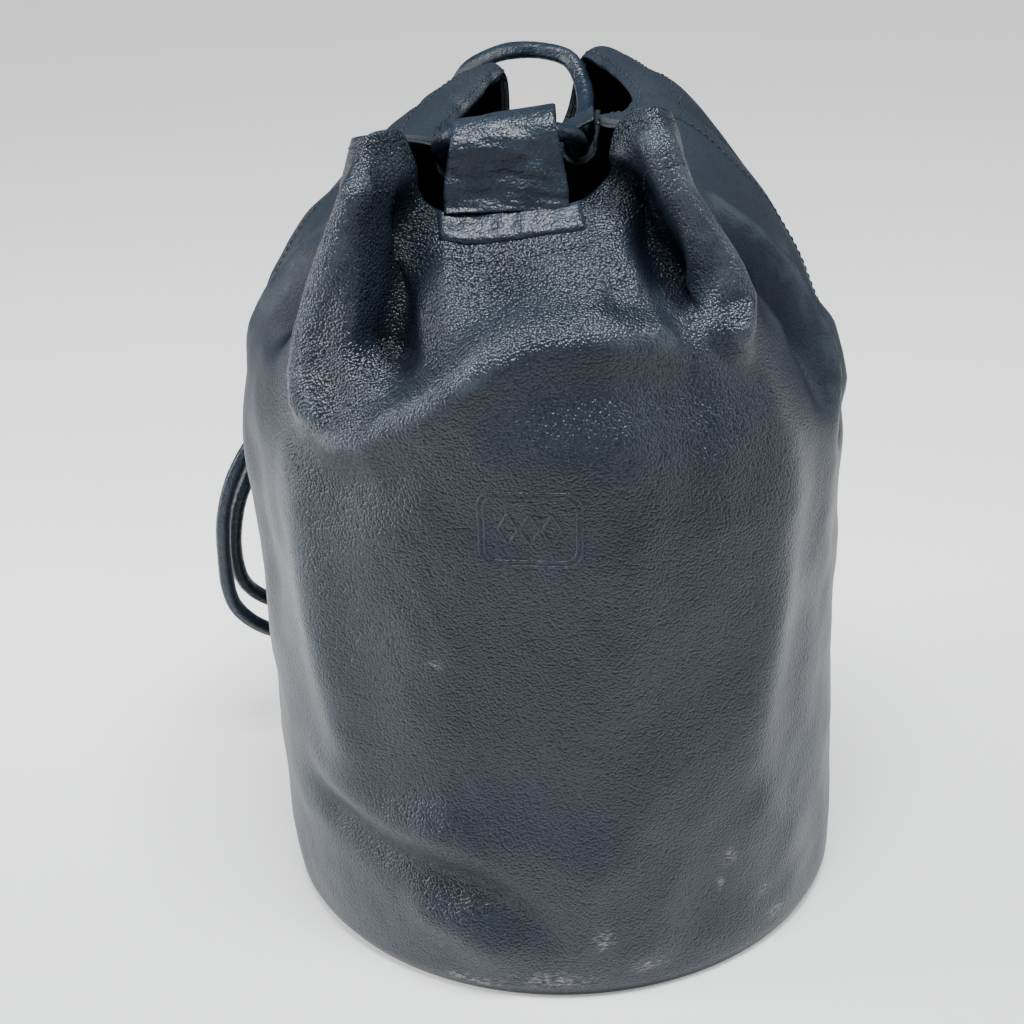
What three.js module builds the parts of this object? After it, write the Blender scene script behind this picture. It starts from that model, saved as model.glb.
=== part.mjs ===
// Drawstring bucket bag in soft grained leather, standing on its round base with the mouth drawn shut.
// Millimetres, +Z up, front towards -Y. The shapes are set out from the middle of the base on the floor.
// The leather is one wrapped surface: it rises from a round base, turns in at the shoulder and gathers
// into lobes round the mouth. Every soft layer is that same surface moved inwards by its own depth.
import * as THREE from 'three';

// Leather and inner layers
const LEATHER = 2.4;
const GAP = 0.3;
const FACING = 1.4;
const LINING = 0.9;
const FACING_HEIGHT = 28;
const SEAM_TAPE_WIDTH = 18;
const SEAM_TAPE = 0.9;

// Loops that hold the cord
const TAB_LEATHER = 2.2;
const TAB_ARC_STEPS = 12;
const TAB_FOOT_HALF = 2.4;
const TAB_SLIT_HALF = 0.6;
const TAB_SLIT_FOOT = 6.6;

// Base
const BASE_RADIUS = 141;
const BASE_LEATHER = 2.6;
const BOARD = 2.2;
const BASE_LINING = 1.0;
const BASE_SIDES = 64;
const BASE_PANEL_RADIUS = BASE_RADIUS - LEATHER - 4 * GAP;
const BOARD_RADIUS = 136;
const BASE_LINING_RADIUS = 135;

// Body
const SHOULDER = 240;
const BODY_HEIGHTS = [0, 8, 34, 74, 116, 158, 200];
const HEM_ROWS = 3;
const SHOULDER_ROWS = 9;
const COLUMNS_PER_STATION = 2;

// Cord
const CORD = 8.5;
const CORD_SIDES = 8;
const CORD_STEP = 2 * CORD;
const CORD_MOST_STEPS = 80;

// Body outline: height, radius, sideways lean of its centre.
const OUTLINE = [
  [0, 141, -1],
  [8, 145, -2],
  [60, 146, -4],
  [150, 146, -6],
  [SHOULDER, 148, -7],
];

// Gathered mouth, anticlockwise seen from above, starting at the front: angle on the body in degrees,
// the rim's x, y and z there, how far the hem leans in from upright in degrees, and how far the leather
// holds straight above the shoulder and below the rim.
const STATIONS = [
  [0, -17, -66, 374, 62, 84, 60],
  [11, 10, -65, 376, 62, 84, 62],
  [20, 22, -63, 386, 50, 70, 60],
  [28, 29, -64, 410, 30, 60, 52],
  [36, 43, -74, 419, 24, 56, 50],
  [46, 52, -62, 413, 28, 56, 50],
  [60, 40, -38, 404, 44, 66, 46],
  [78, 24, -18, 405, 60, 80, 40],
  [90, 37, -8, 405, 50, 78, 44],
  [102, 48, 2, 409, 36, 72, 46],
  [114, 42, 22, 414, 34, 66, 46],
  [126, 29, 37, 409, 44, 62, 44],
  [138, 29, 52, 414, 32, 58, 48],
  [150, 18, 61, 418, 32, 58, 48],
  [162, 9, 56, 390, 56, 70, 50],
  [174, -6, 58, 360, 68, 78, 50],
  [186, -20, 58, 366, 62, 76, 50],
  [196, -26, 54, 402, 38, 60, 48],
  [208, -33, 60, 408, 32, 58, 46],
  [222, -49, 44, 402, 34, 64, 46],
  [240, -64, 22, 396, 40, 84, 44],
  [262, -56, -7, 397, 58, 96, 40],
  [284, -66, -34, 400, 44, 88, 46],
  [306, -86, -58, 405, 26, 64, 50],
  [322, -79, -76, 411, 24, 56, 50],
  [332, -64, -66, 409, 30, 60, 52],
  [340, -55, -63, 384, 50, 70, 60],
  [349, -44, -65, 372, 62, 84, 62],
];

const NAVY = { color: 0x323c48, roughness: 0.55, metalness: 0.0 };
const CORD_LEATHER = { color: 0x3a464e, roughness: 0.5, metalness: 0.0 };
const CLOTH = { color: 0x0d0f16, roughness: 0.95, metalness: 0.0 };
const FIBRE_BOARD = { color: 0x57493a, roughness: 0.9, metalness: 0.0 };
const TAPE = { color: 0x181b24, roughness: 0.9, metalness: 0.0 };

const bag = new THREE.Group();

function add(name, geometry, look) {
  const mesh = new THREE.Mesh(geometry, new THREE.MeshStandardMaterial(look));
  mesh.name = name;
  bag.add(mesh);
}

// Smooth value of a table's column at a key; a periodic table repeats every 360 degrees.
function smoothColumn(table, column, key, period) {
  const count = table.length;
  const entry = (i) => {
    if (!period) {
      const row = table[Math.min(Math.max(i, 0), count - 1)];
      return [row[0], row[column]];
    }
    const turn = Math.floor(i / count);
    const row = table[i - turn * count];
    return [row[0] + turn * period, row[column]];
  };
  let i = 0;
  while (i < count - (period ? 1 : 2) && table[i + 1][0] <= key) {
    i += 1;
  }
  const [k0, v0] = entry(i - 1);
  const [k1, v1] = entry(i);
  const [k2, v2] = entry(i + 1);
  const [k3, v3] = entry(i + 2);
  const span = k2 - k1;
  const t = (key - k1) / span;
  const slopeIn = k2 > k0 ? (v2 - v0) / (k2 - k0) : 0;
  const slopeOut = k3 > k1 ? (v3 - v1) / (k3 - k1) : 0;
  const t2 = t * t;
  const t3 = t2 * t;
  const start = (2 * t3 - 3 * t2 + 1) * v1 + (t3 - 2 * t2 + t) * span * slopeIn;
  return start + (3 * t2 - 2 * t3) * v2 + (t3 - t2) * span * slopeOut;
}

function bodyPoint(angle, z) {
  const radius = smoothColumn(OUTLINE, 1, z, 0);
  const lean = smoothColumn(OUTLINE, 2, z, 0);
  const turn = THREE.MathUtils.degToRad(angle);
  return new THREE.Vector3(lean + radius * Math.sin(turn), -radius * Math.cos(turn), z);
}

// The leather's line from the shoulder to the rim at one angle.
function shoulderCurve(angle) {
  const read = (column) => smoothColumn(STATIONS, column, angle, 360);
  const foot = bodyPoint(angle, SHOULDER);
  const rim = new THREE.Vector3(read(1), read(2), read(3));
  const lean = THREE.MathUtils.degToRad(read(4));
  const inward = new THREE.Vector3(rim.x - foot.x, rim.y - foot.y, 0).normalize();
  const hem = inward.multiplyScalar(Math.sin(lean)).setZ(Math.cos(lean));
  const above = foot.clone().setZ(foot.z + read(5));
  const below = rim.clone().addScaledVector(hem, -read(6));
  return new THREE.CubicBezierCurve3(foot, above, below, rim);
}

// One column of the surface from the floor to the rim, with its last rows evenly spread over the hem.
function surfaceColumn(angle) {
  const points = BODY_HEIGHTS.map((z) => bodyPoint(angle, z));
  const curve = shoulderCurve(angle);
  const length = curve.getLength();
  const hemStart = 1 - FACING_HEIGHT / length;
  for (let row = 0; row < SHOULDER_ROWS; row += 1) {
    points.push(curve.getPointAt((hemStart * row) / SHOULDER_ROWS));
  }
  for (let row = 0; row <= HEM_ROWS; row += 1) {
    points.push(curve.getPointAt(hemStart + ((1 - hemStart) * row) / HEM_ROWS));
  }
  return points;
}

const ROWS = BODY_HEIGHTS.length + SHOULDER_ROWS + HEM_ROWS + 1;
const HEM_ROW = BODY_HEIGHTS.length + SHOULDER_ROWS;

const angles = [];
STATIONS.forEach((station, i) => {
  const next = i + 1 < STATIONS.length ? STATIONS[i + 1][0] : 360;
  for (let step = 0; step < COLUMNS_PER_STATION; step += 1) {
    angles.push(station[0] + ((next - station[0]) * step) / COLUMNS_PER_STATION);
  }
});
const COLUMNS = angles.length;
const surface = angles.map(surfaceColumn);

// Outward normals of the surface, shared by every layer so that layers stay parallel.
const normals = surface.map((column, i) => column.map((_, j) => {
  const east = surface[(i + 1) % COLUMNS][j].clone().sub(surface[(i + COLUMNS - 1) % COLUMNS][j]);
  const up = column[Math.min(j + 1, ROWS - 1)].clone().sub(column[Math.max(j - 1, 0)]);
  return east.cross(up).normalize();
}));

function layerPoint(column, row, depth) {
  const i = ((column % COLUMNS) + COLUMNS) % COLUMNS;
  return surface[i][row].clone().addScaledVector(normals[i][row], -depth);
}

// Closed body between two grids of points; a grid that wraps has its last column joined to its first.
function slab(outer, inner, wraps) {
  const columns = outer.length;
  const rows = outer[0].length;
  const positions = [];
  const indices = [];
  [outer, inner].flat(2).forEach((point) => positions.push(...point.toArray()));
  const at = (side, i, j) => (side * columns + (i % columns)) * rows + j;
  const quad = (a, b, c, d) => indices.push(a, b, c, a, c, d);
  const spans = wraps ? columns : columns - 1;
  for (let i = 0; i < spans; i += 1) {
    for (let j = 0; j < rows - 1; j += 1) {
      quad(at(0, i, j), at(0, i + 1, j), at(0, i + 1, j + 1), at(0, i, j + 1));
      quad(at(1, i, j), at(1, i, j + 1), at(1, i + 1, j + 1), at(1, i + 1, j));
    }
    quad(at(0, i, 0), at(1, i, 0), at(1, i + 1, 0), at(0, i + 1, 0));
    quad(at(0, i, rows - 1), at(0, i + 1, rows - 1), at(1, i + 1, rows - 1), at(1, i, rows - 1));
  }
  if (!wraps) {
    for (let j = 0; j < rows - 1; j += 1) {
      quad(at(0, 0, j), at(0, 0, j + 1), at(1, 0, j + 1), at(1, 0, j));
      const last = columns - 1;
      quad(at(0, last, j), at(1, last, j), at(1, last, j + 1), at(0, last, j + 1));
    }
  }
  const geometry = new THREE.BufferGeometry();
  geometry.setAttribute('position', new THREE.Float32BufferAttribute(positions, 3));
  geometry.setIndex(indices);
  geometry.computeVertexNormals();
  return geometry;
}

// A layer of the bag between two columns and two rows, from one depth to another.
function layer(firstColumn, lastColumn, firstRow, lastRow, near, far, wraps) {
  const grids = [near, far].map((depth) => {
    const grid = [];
    for (let i = firstColumn; i <= lastColumn; i += 1) {
      const line = [];
      for (let j = firstRow; j <= lastRow; j += 1) {
        line.push(layerPoint(i, j, depth));
      }
      grid.push(line);
    }
    return grid;
  });
  return slab(grids[0], grids[1], wraps);
}

// Moves the end lines of an open layer apart by half a gap, so that neighbours meet without touching.
function trimmed(geometry, firstColumn, lastColumn) {
  const position = geometry.attributes.position;
  const perGrid = position.count / 2;
  const rows = perGrid / (lastColumn - firstColumn + 1);
  for (let side = 0; side < 2; side += 1) {
    for (let j = 0; j < rows; j += 1) {
      const ends = [
        [side * perGrid + j, side * perGrid + rows + j],
        [(side + 1) * perGrid - rows + j, (side + 1) * perGrid - 2 * rows + j],
      ];
      ends.forEach(([end, next]) => {
        const a = new THREE.Vector3().fromBufferAttribute(position, end);
        const b = new THREE.Vector3().fromBufferAttribute(position, next);
        a.addScaledVector(b.sub(a).normalize(), GAP / 2);
        position.setXYZ(end, a.x, a.y, a.z);
      });
    }
  }
  return geometry;
}

function columnAt(angle) {
  let best = 0;
  angles.forEach((value, i) => {
    if (Math.abs(value - angle) < Math.abs(angles[best] - angle)) {
      best = i;
    }
  });
  return best;
}

const RIGHT = columnAt(90);
const LEFT = columnAt(269);
const liningDepth = LEATHER + GAP;
const innerDepth = liningDepth + LINING;

function buildLeather() {
  const front = layer(LEFT - COLUMNS, RIGHT, 0, ROWS - 1, 0, LEATHER, false);
  add('body_front_panel', trimmed(front, LEFT - COLUMNS, RIGHT), NAVY);
  const back = layer(RIGHT, LEFT, 0, ROWS - 1, 0, LEATHER, false);
  add('body_back_panel', trimmed(back, RIGHT, LEFT), NAVY);
}

function buildFacing() {
  const facing = layer(0, COLUMNS - 1, HEM_ROW, ROWS - 1, liningDepth, liningDepth + FACING, true);
  add('rim_facing', facing, NAVY);
}

function buildLining() {
  add('lining', layer(0, COLUMNS - 1, 1, HEM_ROW - 1, liningDepth, innerDepth, true), CLOTH);
}

// A tape over the inside of each side seam.
function buildSeamTapes() {
  [['right_seam_tape', RIGHT], ['left_seam_tape', LEFT]].forEach(([name, column]) => {
    const outer = [];
    const inner = [];
    [-1, 0, 1].forEach((side) => {
      const grids = [[innerDepth + GAP, outer], [innerDepth + GAP + SEAM_TAPE, inner]];
      grids.forEach(([depth, grid]) => {
        const line = [];
        for (let j = 1; j < HEM_ROW - 2; j += 1) {
          const middle = layerPoint(column, j, depth);
          const next = layerPoint(column + side, j, depth).sub(middle);
          const width = side === 0 ? 0 : SEAM_TAPE_WIDTH / 2;
          line.push(middle.addScaledVector(next.lengthSq() > 0 ? next.normalize() : next, width));
        }
        grid.push(line);
      });
    });
    add(name, slab(outer, inner, false), TAPE);
  });
}

function disc(radius, thickness, z) {
  const geometry = new THREE.CylinderGeometry(radius, radius, thickness, BASE_SIDES);
  geometry.rotateX(Math.PI / 2);
  geometry.translate(OUTLINE[0][2], 0, z + thickness / 2);
  return geometry;
}

// The base disc sits inside the body leather, which turns under to meet it.
function buildBase() {
  add('base_panel', disc(BASE_PANEL_RADIUS, BASE_LEATHER, 0), NAVY);
  add('base_board', disc(BOARD_RADIUS, BOARD, BASE_LEATHER + GAP), FIBRE_BOARD);
  const liningFloor = BASE_LEATHER + BOARD + 2 * GAP;
  add('base_lining', disc(BASE_LINING_RADIUS, BASE_LINING, liningFloor), CLOTH);
}

// A cord of round section along hand-set points.
function cord(points) {
  const path = new THREE.CatmullRomCurve3(points.map((p) => new THREE.Vector3(...p)));
  const section = new THREE.Shape();
  for (let side = 0; side < CORD_SIDES; side += 1) {
    const turn = (2 * Math.PI * side) / CORD_SIDES;
    const corner = [(CORD / 2) * Math.cos(turn), (CORD / 2) * Math.sin(turn)];
    if (side === 0) {
      section.moveTo(...corner);
    } else {
      section.lineTo(...corner);
    }
  }
  section.closePath();
  const steps = Math.min(Math.round(path.getLength() / CORD_STEP), CORD_MOST_STEPS);
  return new THREE.ExtrudeGeometry(section, { steps, extrudePath: path, curveSegments: 1 });
}

// The cord round the mouth: up behind the back left lobe, over the low back of the rim, round inside the
// lobes and through the loops, and out again over the back of the rim.
const MOUTH_CORD = [
  [-43.6, 144.6, 325],
  [-44.3, 144.2, 333],
  [-45, 143.8, 340.9],
  [-46.5, 139, 354],
  [-48, 129, 368],
  [-48.5, 116, 381],
  [-46, 101, 394],
  [-38, 86, 405],
  [-20, 70, 415],
  [-2, 63, 416],
  [10, 56, 413],
  [16, 44, 404],
  [17, 28, 396],
  [14, 8, 391],
  [13, -12, 389],
  [13, -27, 390],
  [11, -42, 398.5],
  [4, -51.5, 404],
  [-17, -53.8, 405.5],
  [-36, -52, 404.2],
  [-44, -51.5, 403.5],
  [-49.5, -39, 395],
  [-46.5, -20, 384],
  [-45.5, -3, 381],
  [-45, 14, 380],
  [-42, 28, 380],
  [-34, 40, 379],
  [-21, 49, 377],
  [-12.5, 60, 374],
  [-12, 72, 371],
  [-13.5, 86, 368],
  [-19, 102, 370],
  [-26.5, 118, 370],
  [-32, 131, 364],
  [-35, 139.5, 353.5],
  [-35.8, 143.8, 340.9],
  [-35.3, 144.2, 333],
  [-34.6, 144.6, 325],
];

// The two strands of the shoulder strap: from the keeper behind the mouth, out to the left and down to
// the anchor at the foot of the back.
const STRAND_LOWER = [
  [-43.4, 144.8, 323],
  [-42.7, 145.2, 314.1],
  [-42.1, 145.7, 306.1],
  [-46, 144, 297],
  [-60, 141, 280],
  [-84, 141, 260],
  [-116, 130, 238],
  [-148, 106, 218],
  [-172, 87, 197],
  [-186, 81, 168],
  [-191, 82, 132],
  [-188, 86, 98],
  [-168, 96, 76],
  [-140, 118, 68],
  [-108, 140, 64],
  [-74, 155, 60],
  [-44, 161, 54],
  [-26, 162, 48],
  [-19.9, 160, 41.9],
  [-19, 160.5, 33],
  [-18.2, 161, 24],
  [-17.4, 161.5, 15.1],
];

const STRAND_UPPER = [
  [-34.4, 144.8, 323],
  [-33.7, 145.2, 314.1],
  [-33, 145.7, 306.1],
  [-37, 150, 294],
  [-50, 152.5, 278],
  [-76, 153, 254],
  [-108, 148, 230],
  [-140, 128, 208],
  [-164, 107, 191],
  [-180, 97, 165],
  [-187, 96, 134],
  [-184, 99, 107],
  [-168, 109, 89],
  [-144, 128, 80],
  [-112, 150, 76],
  [-76, 165, 72],
  [-44, 172, 68],
  [-24, 170.5, 60],
  [-12.1, 159.6, 50.9],
  [-10.7, 160, 41.9],
  [-9.8, 160.5, 33],
  [-9.2, 161, 24],
  [-8.4, 161.5, 15.1],
];

// Where the strands turn: the middle of the keeper and the mouth of the anchor.
const SWING_TOP = new THREE.Vector3(-39, 144.7, 324);
const SWING_FOOT = new THREE.Vector3(-14, 160.8, 28);
const SLEEVE_BORE = 9.9;
const SLEEVE_OUTSIDE = 11;
const KEEPER_LENGTH = 14;
const ANCHOR_LENGTH = 24;
const ANCHOR_FLOOR = 4;
const SLEEVE_SIDES = 24;

function buildCords() {
  add('mouth_drawcord', cord(MOUTH_CORD), CORD_LEATHER);
  add('strap_strand_lower', cord(STRAND_LOWER), CORD_LEATHER);
  add('strap_strand_upper', cord(STRAND_UPPER), CORD_LEATHER);
}

// A round sleeve along the swing line, from a point to a length below it; a floor closes its lower end.
function sleeve(top, length, floor) {
  const outline = [
    [SLEEVE_BORE, 0],
    [SLEEVE_OUTSIDE, 0],
    [SLEEVE_OUTSIDE, length],
  ];
  if (floor > 0) {
    outline.push([0, length], [0, length - floor]);
  }
  outline.push([SLEEVE_BORE, length - floor], outline[0]);
  const profile = outline.map(([radius, height]) => new THREE.Vector2(radius, height));
  const geometry = new THREE.LatheGeometry(profile, SLEEVE_SIDES);
  const along = SWING_FOOT.clone().sub(SWING_TOP).normalize();
  geometry.applyQuaternion(new THREE.Quaternion().setFromUnitVectors(new THREE.Vector3(0, 1, 0), along));
  geometry.translate(top.x, top.y, top.z);
  return geometry;
}

function buildStrapHolders() {
  const along = SWING_FOOT.clone().sub(SWING_TOP).normalize();
  const keeperTop = SWING_TOP.clone().addScaledVector(along, -KEEPER_LENGTH / 2);
  add('strap_keeper', sleeve(keeperTop, KEEPER_LENGTH, 0), NAVY);
  add('strap_anchor', sleeve(SWING_FOOT, ANCHOR_LENGTH, ANCHOR_FLOOR), NAVY);
}

// A loop of leather round the cord: a drop-shaped tube from its foot at the rim to its round end.
// width runs along the cord, centre is the middle of the round end.
function loopTab(foot, centre, radius, width, direction) {
  const up = centre.clone().sub(foot);
  const reach = up.length();
  const drop = (size, footHalf, footHeight) => {
    const lean = Math.asin((size - footHalf) / (reach - footHeight));
    const points = [];
    for (let step = 0; step <= TAB_ARC_STEPS; step += 1) {
      const turn = -lean + ((Math.PI + 2 * lean) * step) / TAB_ARC_STEPS;
      points.push(new THREE.Vector2(size * Math.cos(turn), reach + size * Math.sin(turn)));
    }
    points.push(new THREE.Vector2(-footHalf, footHeight));
    points.push(new THREE.Vector2(footHalf, footHeight));
    return points;
  };
  const outline = new THREE.Shape(drop(radius, TAB_FOOT_HALF, 0));
  outline.holes.push(new THREE.Path(drop(radius - TAB_LEATHER, TAB_SLIT_HALF, TAB_SLIT_FOOT).reverse()));
  const geometry = new THREE.ExtrudeGeometry(outline, { depth: width, bevelEnabled: false, steps: 1 });
  geometry.translate(0, 0, -width / 2);
  const lift = up.normalize();
  const along = new THREE.Vector3(Math.cos(direction[0]), Math.sin(direction[0]), direction[1]);
  along.addScaledVector(lift, -along.dot(lift)).normalize();
  const across = lift.clone().cross(along).normalize();
  geometry.applyMatrix4(new THREE.Matrix4().makeBasis(across, lift, along));
  geometry.translate(foot.x, foot.y, foot.z);
  return geometry;
}

// Each loop: foot at the rim, middle of the round end, radius, width along the cord, direction of the cord
// (turn about Z in radians, then rise).
const LOOPS = {
  front_loop_tab: [[-20, -66, 378], [-20, -53, 406], 13.5, 45, [0, 0.08]],
  right_loop_tab: [[21, -13, 402], [13, -12, 389.5], 9, 18, [1.6, 0]],
  left_loop_tab: [[-51.5, -5, 395.5], [-45.5, -3, 381.5], 9, 18, [1.55, 0]],
};

function buildLoops() {
  Object.entries(LOOPS).forEach(([name, [foot, end, radius, width, along]]) => {
    add(name, loopTab(new THREE.Vector3(...foot), new THREE.Vector3(...end), radius, width, along), NAVY);
  });
}

buildLeather();
buildFacing();
buildLining();
buildSeamTapes();
buildBase();
buildCords();
buildStrapHolders();
buildLoops();

// The origin is on the floor under the middle of the bag's outline, the free strands left out.
const footprint = new THREE.Box3();
bag.children.forEach((mesh) => {
  if (!mesh.name.startsWith('strap_strand')) {
    footprint.expandByObject(mesh);
  }
});
const middle = footprint.getCenter(new THREE.Vector3());
bag.position.set(-middle.x, -middle.y, 0);

export default bag;
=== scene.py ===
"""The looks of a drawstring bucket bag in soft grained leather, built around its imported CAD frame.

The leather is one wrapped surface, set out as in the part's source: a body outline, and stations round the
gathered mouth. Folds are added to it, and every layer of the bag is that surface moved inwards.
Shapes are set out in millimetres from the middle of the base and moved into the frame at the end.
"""
import math

import bpy
import numpy as np
from mathutils import Matrix, Vector


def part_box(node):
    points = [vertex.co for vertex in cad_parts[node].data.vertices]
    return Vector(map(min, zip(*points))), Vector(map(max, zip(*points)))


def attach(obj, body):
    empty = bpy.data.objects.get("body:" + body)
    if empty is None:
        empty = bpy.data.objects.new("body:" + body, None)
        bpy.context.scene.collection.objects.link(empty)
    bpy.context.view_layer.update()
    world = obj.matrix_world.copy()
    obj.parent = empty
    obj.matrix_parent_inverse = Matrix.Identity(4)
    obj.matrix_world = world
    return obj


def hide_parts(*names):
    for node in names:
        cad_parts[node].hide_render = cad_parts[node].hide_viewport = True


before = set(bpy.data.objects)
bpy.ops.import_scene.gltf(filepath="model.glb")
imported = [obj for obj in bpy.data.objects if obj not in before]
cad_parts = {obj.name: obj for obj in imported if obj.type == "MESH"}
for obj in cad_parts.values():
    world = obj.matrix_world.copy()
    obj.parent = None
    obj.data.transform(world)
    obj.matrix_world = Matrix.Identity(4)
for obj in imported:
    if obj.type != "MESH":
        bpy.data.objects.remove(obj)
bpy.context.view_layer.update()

MM = 0.001

# Layers, as in the part
LEATHER = 2.4
GAP = 0.3
FACING = 1.4
LINING = 0.9
HEM = 28.0
UPPER_STITCH = 4.5
LOWER_STITCH = 26.5
SHOULDER = 240.0
BODY_RADIUS = 147.0
CORD = 8.5

# Body outline: height, radius, sideways lean of its centre
OUTLINE = [
    [0, 141, -1],
    [8, 145, -2],
    [60, 146, -4],
    [150, 146, -6],
    [SHOULDER, 148, -7],
]

# Gathered mouth: angle on the body, rim x, y and z, lean of the hem, straight lengths above the shoulder
# and below the rim
STATIONS = [
    [0, -17, -66, 374, 62, 84, 60],
    [11, 10, -65, 376, 62, 84, 62],
    [20, 22, -63, 386, 50, 70, 60],
    [28, 29, -64, 410, 30, 60, 52],
    [36, 43, -74, 419, 24, 56, 50],
    [46, 52, -62, 413, 28, 56, 50],
    [60, 40, -38, 404, 44, 66, 46],
    [78, 22, -20, 403, 92, 78, 44],
    [90, 33, -8, 401, 108, 74, 46],
    [102, 38, 4, 405, 120, 70, 40],
    [114, 34, 18, 409, 136, 70, 42],
    [126, 29, 31, 411, 140, 70, 42],
    [138, 25, 45, 412, 140, 72, 42],
    [150, 15, 58, 412, 122, 70, 42],
    [162, 8, 58, 386, 84, 74, 50],
    [174, -6, 58, 360, 68, 78, 50],
    [186, -19, 59, 364, 64, 76, 50],
    [196, -20, 50, 405, 114, 68, 44],
    [208, -26, 41, 408, 128, 70, 48],
    [222, -34, 27, 402, 132, 74, 50],
    [240, -44, 8, 396, 124, 82, 46],
    [262, -49, -11, 393, 98, 90, 42],
    [284, -66, -34, 400, 44, 88, 46],
    [306, -86, -58, 405, 26, 64, 50],
    [322, -79, -76, 411, 24, 56, 50],
    [332, -64, -66, 409, 30, 60, 52],
    [340, -55, -63, 384, 50, 70, 60],
    [349, -44, -65, 372, 62, 84, 62],
]

# Cord routes, as in the part
MOUTH_CORD = [
    [-43.6, 144.6, 325], [-44.3, 144.2, 333], [-45, 143.8, 340.9], [-46.5, 139, 354],
    [-48, 129, 368], [-48.5, 116, 381], [-46, 101, 394], [-38, 86, 405],
    [-20, 70, 415], [-2, 63, 416], [10, 56, 413], [16, 44, 404],
    [17, 28, 396], [14, 8, 391], [13, -12, 389], [13, -27, 390],
    [11, -42, 398.5], [4, -51.5, 404], [-17, -53.8, 405.5], [-36, -52, 404.2],
    [-44, -51.5, 403.5], [-49.5, -39, 395], [-46.5, -20, 384], [-45.5, -3, 381],
    [-45, 14, 380], [-42, 28, 380], [-34, 40, 379], [-21, 49, 377],
    [-12.5, 60, 374], [-12, 72, 371], [-13.5, 86, 368], [-19, 102, 370],
    [-26.5, 118, 370], [-32, 131, 364], [-35, 139.5, 353.5], [-35.8, 143.8, 340.9],
    [-35.3, 144.2, 333], [-34.6, 144.6, 325],
]

STRAND_LOWER = [
    [-43.4, 144.8, 323], [-42.7, 145.2, 314.1], [-42.1, 145.7, 306.1], [-46, 144, 297],
    [-60, 141, 280], [-84, 141, 260], [-116, 130, 238], [-148, 106, 218],
    [-172, 87, 197], [-186, 81, 168], [-191, 82, 132], [-188, 86, 98],
    [-168, 96, 76], [-140, 118, 68], [-108, 140, 64], [-74, 155, 60],
    [-44, 161, 54], [-26, 162, 48], [-19.9, 160, 41.9], [-19, 160.5, 33],
    [-18.2, 161, 24], [-17.4, 161.5, 15.1],
]

STRAND_UPPER = [
    [-34.4, 144.8, 323], [-33.7, 145.2, 314.1], [-33, 145.7, 306.1], [-37, 150, 294],
    [-50, 152.5, 278], [-76, 153, 254], [-108, 148, 230], [-140, 128, 208],
    [-164, 107, 191], [-180, 97, 165], [-187, 96, 134], [-184, 99, 107],
    [-168, 109, 89], [-144, 128, 80], [-112, 150, 76], [-76, 165, 72],
    [-44, 172, 68], [-24, 170.5, 60], [-12.1, 159.6, 50.9], [-10.7, 160, 41.9],
    [-9.8, 160.5, 33], [-9.2, 161, 24], [-8.4, 161.5, 15.1],
]

# How finely the leather is meshed
COLUMNS_PER_STATION = 14
BODY_ROWS = 96
SHOULDER_ROWS = 88
HEM_ROWS = 20


# ---------------------------------------------------------------- the shape of the leather

def smooth_column(table, column, keys, period=None):
    """Smooth value of a table's column at each key; with a period, the table repeats."""
    rows = np.array(table, dtype=float)
    known, values = rows[:, 0], rows[:, column]
    if period:
        known = np.concatenate([known[-2:] - period, known, known[:3] + period])
        values = np.concatenate([values[-2:], values, values[:3]])
    before = np.maximum(np.arange(len(known)) - 1, 0)
    after = np.minimum(np.arange(len(known)) + 1, len(known) - 1)
    slope = (values[after] - values[before]) / (known[after] - known[before])
    keys = np.asarray(keys, dtype=float)
    i = np.clip(np.searchsorted(known, keys, side="right") - 1, 0, len(known) - 2)
    span = known[i + 1] - known[i]
    t = (keys - known[i]) / span
    start = (2 * t**3 - 3 * t**2 + 1) * values[i] + (t**3 - 2 * t**2 + t) * span * slope[i]
    return start + (3 * t**2 - 2 * t**3) * values[i + 1] + (t**3 - t**2) * span * slope[i + 1]


def body_points(angles, z):
    """Points of the body at heights z, for a column of angles: shape (angles, heights, 3)."""
    radius = smooth_column(OUTLINE, 1, z)
    lean = smooth_column(OUTLINE, 2, z)
    turn = np.radians(angles)[:, None]
    x = lean + radius * np.sin(turn)
    y = -radius * np.cos(turn)
    return np.stack([x, y, np.broadcast_to(z, x.shape)], axis=2)


def shoulder_points(angles):
    """Points from the shoulder to the rim: even steps up to the hem, then even steps over the hem."""
    read = [smooth_column(STATIONS, column, angles, 360) for column in range(1, 7)]
    foot = body_points(angles, np.array([SHOULDER]))[:, 0]
    rim = np.stack(read[:3], axis=1)
    lean = np.radians(read[3])
    inward = (rim - foot) * [1, 1, 0]
    inward /= np.linalg.norm(inward, axis=1)[:, None]
    hem = inward * np.sin(lean)[:, None] + np.array([0, 0, 1]) * np.cos(lean)[:, None]
    above = foot + np.array([0, 0, 1]) * read[4][:, None]
    below = rim - hem * read[5][:, None]
    t = np.linspace(0, 1, 300)[None, :, None]
    curve = ((1 - t)**3 * foot[:, None] + 3 * t * (1 - t)**2 * above[:, None]
             + 3 * t**2 * (1 - t) * below[:, None] + t**3 * rim[:, None])
    steps = np.linalg.norm(np.diff(curve, axis=1), axis=2)
    run = np.concatenate([np.zeros((len(angles), 1)), np.cumsum(steps, axis=1)], axis=1)
    result = np.empty((len(angles), SHOULDER_ROWS + HEM_ROWS + 1, 3))
    for i, length in enumerate(run[:, -1]):
        places = np.concatenate([
            np.linspace(0, length - HEM, SHOULDER_ROWS, endpoint=False),
            np.linspace(length - HEM, length, HEM_ROWS + 1),
        ])
        for axis in range(3):
            result[i, :, axis] = np.interp(places, run[i], curve[i, :, axis])
    return result


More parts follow.
